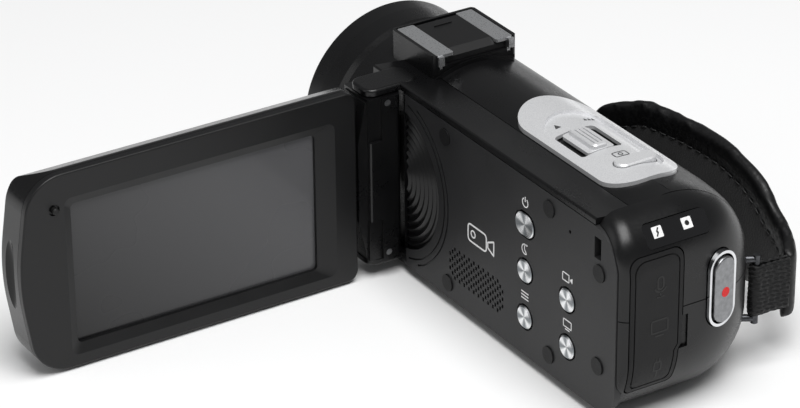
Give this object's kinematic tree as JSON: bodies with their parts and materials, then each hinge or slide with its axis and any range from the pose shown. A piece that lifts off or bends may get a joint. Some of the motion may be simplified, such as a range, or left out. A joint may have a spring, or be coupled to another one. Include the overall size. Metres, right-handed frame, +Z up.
{
  "type": "digital camcorder",
  "caption": "Compact digital camcorder with a hinged, swivelling side display, fixed lens barrel, accessory shoe, tripod socket and padded hand strap.",
  "frame": {"origin": "mouth of the tripod socket, on the base plane straight below the lens axis", "axes": "+X to the strap side, +Y forwards out of the lens, +Z up"},
  "size_m": [0.1692, 0.1348, 0.0576],
  "materials": {
    "housing": "black moulded ABS with a satin sheen",
    "panel": "fine spark-eroded charcoal ABS",
    "display_shell": "black polished ABS",
    "bezel": "matt black ABS",
    "silver": "silver paint with fine flake under clear coat",
    "chrome": "bright nickel-chrome plating",
    "spun": "aluminium with a circular spun finish",
    "steel": "plain steel",
    "brass": "turned brass",
    "rubber": "soft matt rubber",
    "lens": "coated lens glass",
    "screen": "smoked display window",
    "smoke": "smoked acrylic window",
    "board": "green circuit board",
    "cell": "wrapped battery pack",
    "dark": "matt black inner plastic",
    "pad": "padded hand strap with a vinyl face",
    "web": "woven nylon ribbon"
  },
  "bodies": {
    "body": {"left_shell": "housing", "right_shell": "housing", "side_panel": "panel", "rear_upper_cover": "housing", "rear_lower_cover": "housing", "base_plate": "dark", "base_screws": "steel", "tripod_insert": "brass", "battery": "cell", "battery_contacts": "brass", "front_ring": "housing", "lens_bezel": "dark", "lens_glass": "lens", "lens_barrel": "dark", "lens_elements": "lens", "image_sensor": "board", "night_lamp": "screen", "microphones": "steel", "main_board": "board", "key_board": "board", "key_switches": "steel", "control_board": "board", "speaker": "steel", "card_slot": "steel", "port_board": "board", "shoe_base": "housing", "shoe_rails": "chrome", "top_panel": "silver", "record_ring": "chrome", "indicator_window": "smoke", "rubber_bumpers": "rubber", "strap_lug_front": "steel", "strap_lug_rear": "steel", "strap_pad": "pad", "front_webbing": "web", "rear_webbing": "web", "mic_socket": "dark", "video_socket": "chrome", "data_socket": "chrome"},
    "hinge_arm": {"hinge_arm": "housing", "hinge_pins": "steel", "arm_screws": "steel"},
    "display": {"display_back": "display_shell", "display_bezel": "bezel", "display_glass": "screen", "lcd_module": "steel", "swivel_shaft": "steel", "catch_stud": "steel"},
    "zoom_lever": {"zoom_lever": "silver"},
    "photo_button": {"photo_button": "silver"},
    "record_button": {"record_button": "silver"},
    "port_cover": {"port_cover": "rubber"},
    "battery_door": {"battery_door": "dark"},
    "shoe_cover": {"shoe_cover": "bezel"},
    "power_button": {"power_button": "spun"},
    "night_light_button": {"night_light_button": "spun"},
    "menu_button": {"menu_button": "spun"},
    "mode_button": {"mode_button": "spun"},
    "display_button": {"display_button": "spun"}
  },
  "joints": [
    {"name": "display_hinge", "type": "hinge", "parent": "body", "child": "hinge_arm", "pos_m": [-0.0262, 0.0307, 0.0267], "axis": [0, 0, 1], "range_deg": [0, 90]},
    {"name": "display_swivel", "type": "hinge", "parent": "hinge_arm", "child": "display", "pos_m": [-0.033, 0.0314, 0.0267], "axis": [1, 0, 0], "range_deg": [-90, 180]},
    {"name": "power_button_press", "type": "slide", "parent": "body", "child": "power_button", "axis": [1, 0, 0], "range_m": [0, 0.0006], "stiffness_N_per_m": 900, "springref_m": -0.0004},
    {"name": "night_light_button_press", "type": "slide", "parent": "body", "child": "night_light_button", "axis": [1, 0, 0], "range_m": [0, 0.0006], "stiffness_N_per_m": 900, "springref_m": -0.0004},
    {"name": "menu_button_press", "type": "slide", "parent": "body", "child": "menu_button", "axis": [1, 0, 0], "range_m": [0, 0.0006], "stiffness_N_per_m": 900, "springref_m": -0.0004},
    {"name": "mode_button_press", "type": "slide", "parent": "body", "child": "mode_button", "axis": [1, 0, 0], "range_m": [0, 0.0006], "stiffness_N_per_m": 900, "springref_m": -0.0004},
    {"name": "display_button_press", "type": "slide", "parent": "body", "child": "display_button", "axis": [1, 0, 0], "range_m": [0, 0.0006], "stiffness_N_per_m": 900, "springref_m": -0.0004},
    {"name": "photo_button_press", "type": "slide", "parent": "body", "child": "photo_button", "axis": [0, 0, -1], "range_m": [0, 0.0005], "stiffness_N_per_m": 900, "springref_m": -0.0004},
    {"name": "record_button_press", "type": "slide", "parent": "body", "child": "record_button", "axis": [-0.1857, 0.9826, 0], "range_m": [0, 0.0006], "stiffness_N_per_m": 900, "springref_m": -0.0004},
    {"name": "zoom_slide", "type": "slide", "parent": "body", "child": "zoom_lever", "axis": [1, 0, 0], "range_m": [-0.0013, 0.0013], "stiffness_N_per_m": 300},
    {"name": "port_cover_hinge", "type": "hinge", "parent": "body", "child": "port_cover", "pos_m": [-0.0189, -0.0686, 0.0273], "axis": [0, 0, -1], "range_deg": [0, 95]},
    {"name": "battery_door_hinge", "type": "hinge", "parent": "body", "child": "battery_door", "pos_m": [0.0046, -0.02775, 0], "axis": [0, -1, 0], "range_deg": [0, 95]},
    {"name": "shoe_cover_slide", "type": "slide", "parent": "body", "child": "shoe_cover", "axis": [0, -1, 0], "range_m": [0, 0.022]}
  ]
}
